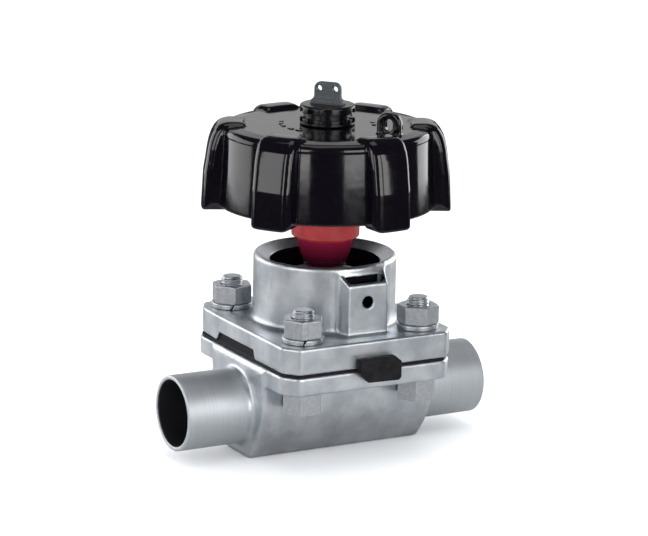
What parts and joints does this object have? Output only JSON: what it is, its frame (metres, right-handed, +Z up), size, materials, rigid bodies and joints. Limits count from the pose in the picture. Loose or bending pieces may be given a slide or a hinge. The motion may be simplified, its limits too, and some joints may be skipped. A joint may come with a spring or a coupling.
{
  "type": "diaphragm valve",
  "caption": "Weir-type diaphragm valve: forged steel body with plain pipe ends, bolted bonnet, rising black handwheel with lobed grips, red position sleeve and sealable stroke limiter.",
  "frame": {"origin": "centre of the flat base under the body, on the spindle axis", "axes": "+Z up along the spindle, +X along the pipe towards the outlet, -Y towards the front with the pocket on the bonnet"},
  "size_m": [0.12, 0.0884, 0.1311],
  "materials": {
    "forged_steel": "blasted satin",
    "cast_steel": "cast satin",
    "bolt_steel": "satin",
    "spindle_steel": "turned",
    "washer_brass": "turned",
    "black_rubber": "moulded",
    "red_plastic": "gloss",
    "black_plastic": "gloss",
    "grey_plastic": "fine grain",
    "bush_plastic": "turned"
  },
  "bodies": {
    "body_and_bonnet": {"valve_body": "forged_steel", "diaphragm": "black_rubber", "bonnet": "cast_steel", "seal_cap": "black_plastic", "spindle_bush": "bush_plastic", "bush_seal_ring": "black_rubber", "spindle_seal_ring": "black_rubber", "cover_bolts": "bolt_steel", "spring_washers": "bolt_steel", "cover_nuts": "bolt_steel"},
    "presser": {"compressor": "cast_steel", "compressor_pins": "spindle_steel", "thrust_disc": "washer_brass", "diaphragm_stud": "spindle_steel"},
    "wheel": {"spindle": "spindle_steel", "indicator_sleeve": "red_plastic", "handwheel": "black_plastic", "wheel_insert": "washer_brass", "wheel_washer": "bolt_steel", "wheel_nut": "bolt_steel"},
    "limiter": {"limiter_knob": "black_plastic", "seal_tab": "grey_plastic", "limiter_screw": "spindle_steel"}
  },
  "joints": [
    {"name": "presser_lift", "type": "slide", "parent": "body_and_bonnet", "child": "presser", "axis": [0, 0, 1], "range_m": [-0.0085, 0], "deforming": ["diaphragm"]},
    {"name": "spindle_turn", "type": "hinge", "parent": "presser", "child": "wheel", "pos_m": [0, 0, 0.1], "axis": [0, 0, 1], "range_deg": [-1020, 0]},
    {"name": "limiter_turn", "type": "hinge", "parent": "wheel", "child": "limiter", "pos_m": [0, 0, 0.118], "axis": [0, 0, 1], "range_deg": [-360, 0]}
  ],
  "couplings": [
    {"joint": "presser_lift", "follows": "spindle_turn", "m_per_rad": 0.00047746}
  ]
}
